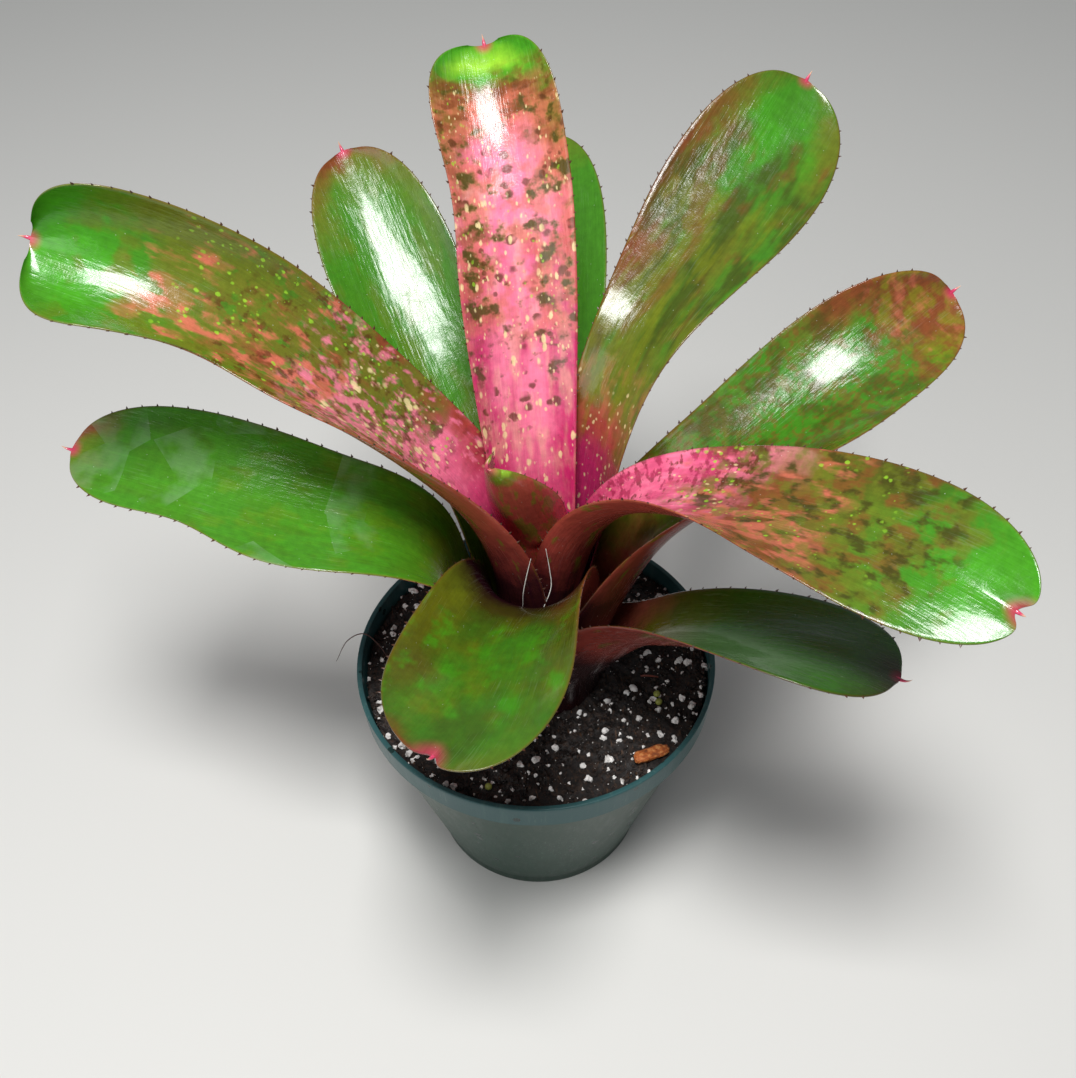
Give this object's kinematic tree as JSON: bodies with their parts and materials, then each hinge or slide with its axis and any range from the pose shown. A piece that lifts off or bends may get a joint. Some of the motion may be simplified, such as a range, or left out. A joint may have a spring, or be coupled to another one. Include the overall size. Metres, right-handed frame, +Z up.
{
  "type": "potted neoregelia bromeliad",
  "caption": "A potted neoregelia bromeliad: a loose rosette of strap leaves, pink-flecked inside and green outside, standing in peat and perlite in a dark green nursery pot.",
  "frame": {"origin": "middle of the pot's underside, on the surface that the pot stands on", "axes": "+Z up along the pot's axis, -Y the side of the rosette that faces the viewer in the picture, +X the viewer's right"},
  "size_m": [0.3533, 0.3086, 0.3329],
  "materials": {
    "pot_plastic": "semi-gloss dark teal polypropylene, finely scratched",
    "peat": null,
    "stem_wood": "matt, woody",
    "leaf_rolled": null,
    "leaf_pink": null,
    "leaf_green": null,
    "leaf_dark": null
  },
  "bodies": {
    "root": {"pot": "pot_plastic", "soil": "peat", "stem": "stem_wood", "leaf_heart": "leaf_rolled", "leaf_back_rose": "leaf_pink", "leaf_right_rose": "leaf_pink", "leaf_left_rose": "leaf_pink", "leaf_back_right": "leaf_green", "leaf_front": "leaf_green", "leaf_back_left": "leaf_green", "leaf_behind": "leaf_green", "leaf_right": "leaf_green", "leaf_low_right": "leaf_dark", "leaf_low_left": "leaf_green"}
  },
  "joints": []
}
